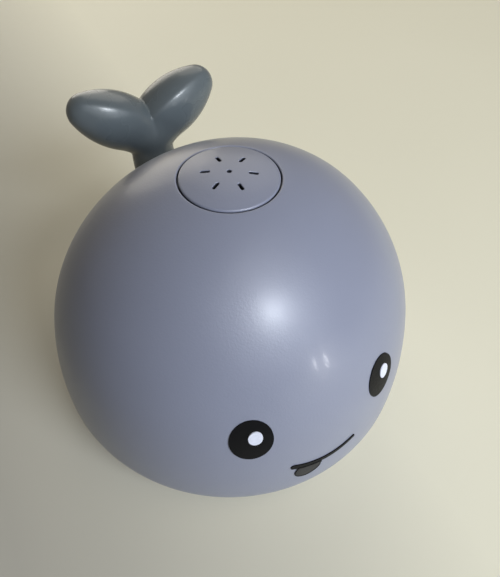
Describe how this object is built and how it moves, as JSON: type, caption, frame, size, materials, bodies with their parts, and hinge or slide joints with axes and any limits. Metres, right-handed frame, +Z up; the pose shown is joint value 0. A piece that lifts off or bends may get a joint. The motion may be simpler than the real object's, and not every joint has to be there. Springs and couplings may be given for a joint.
{
  "type": "whale bath toy",
  "caption": "Round whale bath toy that floats, draws water in through its base and sprays it from a slotted cap on its crown.",
  "frame": {"origin": "middle of the body on the flat face that it rests on", "axes": "+Z up through the spray cap, -Y out of the face, +Y towards the tail, +X to the toy's left as it looks out"},
  "size_m": [0.1, 0.1163, 0.072],
  "materials": {
    "body": "satin with a fine moulded grain",
    "tail": "satin",
    "ink": "printed, semi-gloss",
    "glint": "printed, semi-gloss",
    "tongue": "printed, semi-gloss",
    "white_plastic": "plain moulded",
    "rubber": "matte",
    "foam": "open-cell foam",
    "hose": "milky silicone",
    "steel": "plain",
    "cells": "plain wrapped metal",
    "winding": "enamelled wire on steel",
    "magnet": "sintered",
    "board": "solder mask",
    "components": "moulded"
  },
  "bodies": {
    "body": {"body_shell": "body", "base_tray": "body", "base_gasket": "rubber", "base_screws": "steel", "nozzle_seat": "white_plastic", "tail_fluke": "tail", "tail_washer": "steel", "tail_screw": "steel", "left_eye": "ink", "right_eye": "ink", "eye_glints": "glint", "mouth_line": "ink", "tongue": "tongue", "well_contact": "steel", "battery_cells": "cells", "inlet_filter": "foam", "pump_cover": "white_plastic", "pump_housing": "white_plastic", "pump_screws": "steel", "shaft_seal": "rubber", "motor_magnets": "magnet", "motor_can": "steel", "motor_end_cap": "white_plastic", "outlet_hose": "hose", "circuit_board": "board", "board_parts": "components", "board_screws": "steel", "sensor_pins": "steel"},
    "spray_cap": {"spray_cap": "body", "cap_o_ring": "rubber"},
    "battery_cap": {"battery_cap": "body", "battery_o_ring": "rubber", "cap_contact": "steel"},
    "rotor": {"impeller": "white_plastic", "rotor_shaft": "steel", "armature": "winding"}
  },
  "joints": [
    {"name": "spray_cap_pull", "type": "slide", "parent": "body", "child": "spray_cap", "axis": [0, 0, 1], "range_m": [0, 0.012]},
    {"name": "battery_cap_turn", "type": "hinge", "parent": "body", "child": "battery_cap", "pos_m": [0, 0.0175, 0.003], "axis": [0, 0, 1], "range_deg": [0, 45]},
    {"name": "rotor_spin", "type": "hinge", "parent": "body", "child": "rotor", "pos_m": [0, -0.017, 0.01], "axis": [0, 0, 1], "continuous": true}
  ]
}
